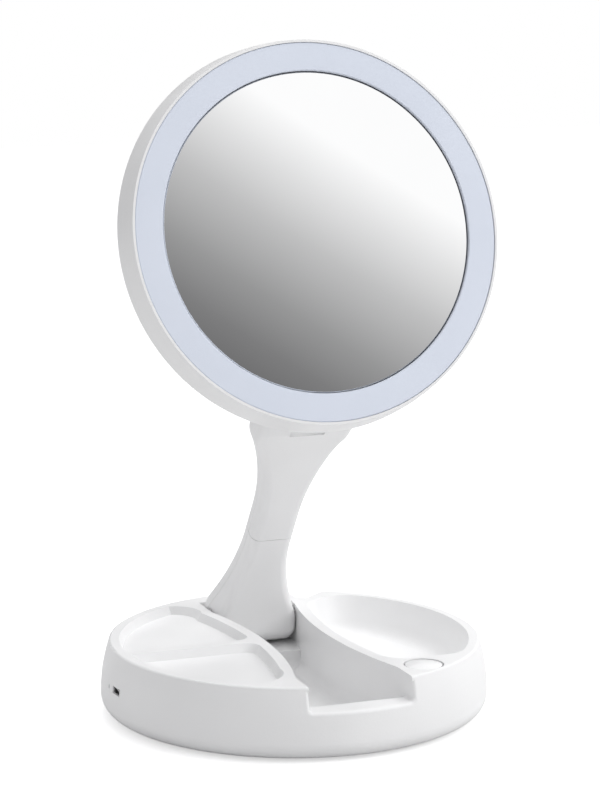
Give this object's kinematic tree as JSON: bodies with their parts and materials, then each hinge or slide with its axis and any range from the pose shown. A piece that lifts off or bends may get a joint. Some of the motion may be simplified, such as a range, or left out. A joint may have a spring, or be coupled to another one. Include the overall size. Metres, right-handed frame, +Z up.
{
  "type": "lighted tabletop mirror",
  "caption": "Folding tabletop mirror with a light ring, a tilting head on a waisted arm, and a round base with trays and a push button.",
  "frame": {"origin": "under the centre of the round base, on the surface it stands on", "axes": "+Z up, -Y to the front notch of the base and the side the mirror faces, +X to the button side"},
  "size_m": [0.185, 0.185, 0.3193],
  "materials": {
    "white_shell": "satin white moulded plastic",
    "diffuser": "frosted translucent plastic",
    "mirror_glass": "silvered flat glass",
    "steel": "bright steel",
    "rubber": "soft grey rubber",
    "board": "green circuit board",
    "chip": "light-emitting diode",
    "switch": "black switch case",
    "cell": "wrapped metal cell",
    "inner_plastic": "plain inner moulding",
    "clear": "clear light guide"
  },
  "bodies": {
    "base": {"base_housing": "white_shell", "base_cover": "white_shell", "base_screws": "steel", "rubber_feet": "rubber", "control_board": "board", "tact_switch": "switch", "charge_board": "board", "power_inlet": "steel", "charge_light": "clear", "battery_cell": "cell", "foot_hinge_pin": "steel", "foot_washers": "steel"},
    "button": {"power_button": "white_shell"},
    "arm": {"lower_arm_front": "white_shell", "lower_arm_rear": "white_shell", "upper_arm_front": "white_shell", "upper_arm_rear": "white_shell", "arm_sleeve": "inner_plastic", "arm_screws": "steel", "head_washers": "steel", "head_hinge_pin": "steel"},
    "head": {"head_housing": "white_shell", "hinge_lug": "white_shell", "lug_screws": "steel", "mirror_carrier": "inner_plastic", "front_mirror": "mirror_glass", "light_ring": "diffuser", "led_board": "board", "leds": "chip", "carrier_screws": "steel"}
  },
  "joints": [
    {"name": "foot_hinge", "type": "hinge", "parent": "base", "child": "arm", "pos_m": [0, 0.0615, 0.0295], "axis": [1, 0, 0], "range_deg": [0, 44]},
    {"name": "head_hinge", "type": "hinge", "parent": "arm", "child": "head", "pos_m": [0, -0.01875, 0.14604], "axis": [1, 0, 0], "range_deg": [-123, 20]},
    {"name": "power_button_press", "type": "slide", "parent": "base", "child": "button", "axis": [0, 0, -1], "range_m": [0, 0.001], "stiffness_N_per_m": 600, "springref_m": -0.0005}
  ]
}
